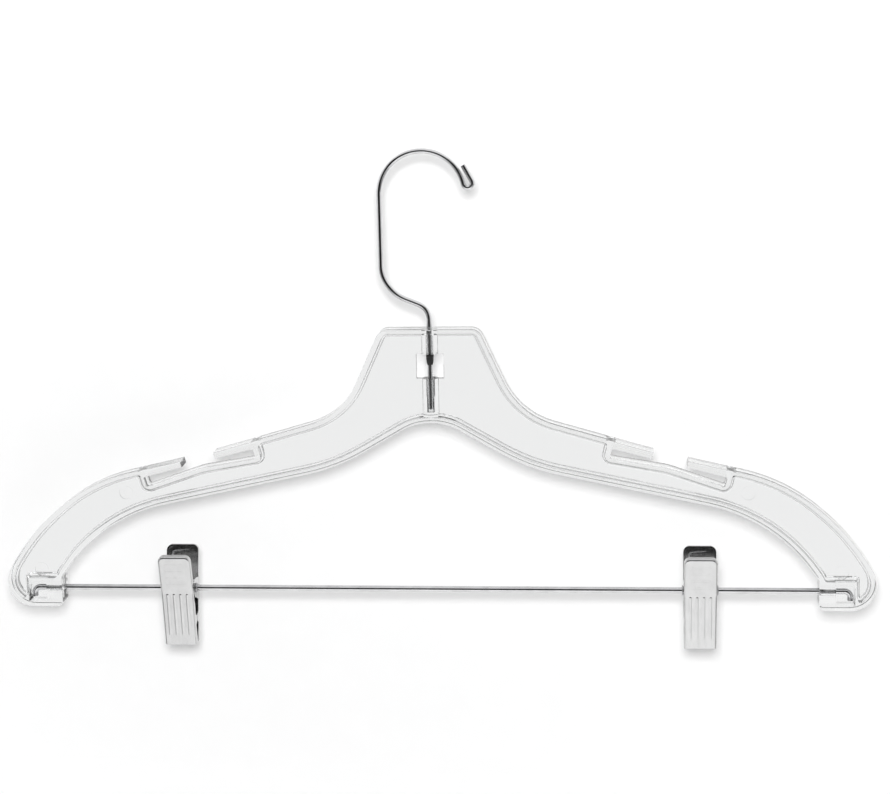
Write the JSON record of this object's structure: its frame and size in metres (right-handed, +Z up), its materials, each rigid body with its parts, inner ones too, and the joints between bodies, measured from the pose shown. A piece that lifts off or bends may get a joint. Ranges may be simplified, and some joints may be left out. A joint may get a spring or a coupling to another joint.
{
  "type": "skirt hanger",
  "caption": "Clear plastic garment hanger with a swivelling wire hook, strap notches and a wire bar carrying sliding spring clips for a skirt or trousers.",
  "frame": {"origin": "point inside the top of the hook, on the swivel axis, where a rail carries the hanger", "axes": "+X along the hanger to the right as seen from the front, +Y to the back, +Z up"},
  "size_m": [0.432, 0.0256, 0.2476],
  "materials": {
    "clear_plastic": "clear, polished",
    "hook_wire": "bright plated",
    "bar_wire": "bright plated",
    "clip_steel": "satin plated",
    "eyelet_steel": "dull plated",
    "spring_steel": "drawn wire",
    "pad_rubber": "matt"
  },
  "bodies": {
    "hanger": {"shoulder_body": "clear_plastic", "clip_bar": "bar_wire"},
    "hook": {"swivel_hook": "hook_wire"},
    "left_carriage": {"left_pivot_eyelet": "eyelet_steel"},
    "left_rear": {"left_rear_jaw": "clip_steel", "left_rear_pad": "pad_rubber", "left_clip_spring": "spring_steel"},
    "left_front": {"left_front_jaw": "clip_steel", "left_front_pad": "pad_rubber"},
    "right_carriage": {"right_pivot_eyelet": "eyelet_steel"},
    "right_rear": {"right_rear_jaw": "clip_steel", "right_rear_pad": "pad_rubber", "right_clip_spring": "spring_steel"},
    "right_front": {"right_front_jaw": "clip_steel", "right_front_pad": "pad_rubber"}
  },
  "joints": [
    {"name": "hook_swivel", "type": "hinge", "parent": "hanger", "child": "hook", "pos_m": [0, 0, -0.0845], "axis": [0, 0, 1], "continuous": true},
    {"name": "left_slide", "type": "slide", "parent": "hanger", "child": "left_carriage", "axis": [1, 0, 0], "range_m": [-0.0195, 0.1165]},
    {"name": "left_swing", "type": "hinge", "parent": "left_carriage", "child": "left_rear", "pos_m": [-0.1291, 0, -0.216], "axis": [1, 0, 0], "continuous": true},
    {"name": "left_open", "type": "hinge", "parent": "left_rear", "child": "left_front", "pos_m": [-0.1291, 0, -0.216], "axis": [-1, 0, 0], "range_deg": [0, 32], "stiffness_Nm_per_rad": 0.5, "springref_deg": -28.65, "deforming": ["left_clip_spring"]},
    {"name": "right_slide", "type": "slide", "parent": "hanger", "child": "right_carriage", "axis": [1, 0, 0], "range_m": [-0.1185, 0.0175]},
    {"name": "right_swing", "type": "hinge", "parent": "right_carriage", "child": "right_rear", "pos_m": [0.131, 0, -0.216], "axis": [1, 0, 0], "continuous": true},
    {"name": "right_open", "type": "hinge", "parent": "right_rear", "child": "right_front", "pos_m": [0.131, 0, -0.216], "axis": [-1, 0, 0], "range_deg": [0, 32], "stiffness_Nm_per_rad": 0.5, "springref_deg": -28.65, "deforming": ["right_clip_spring"]}
  ]
}
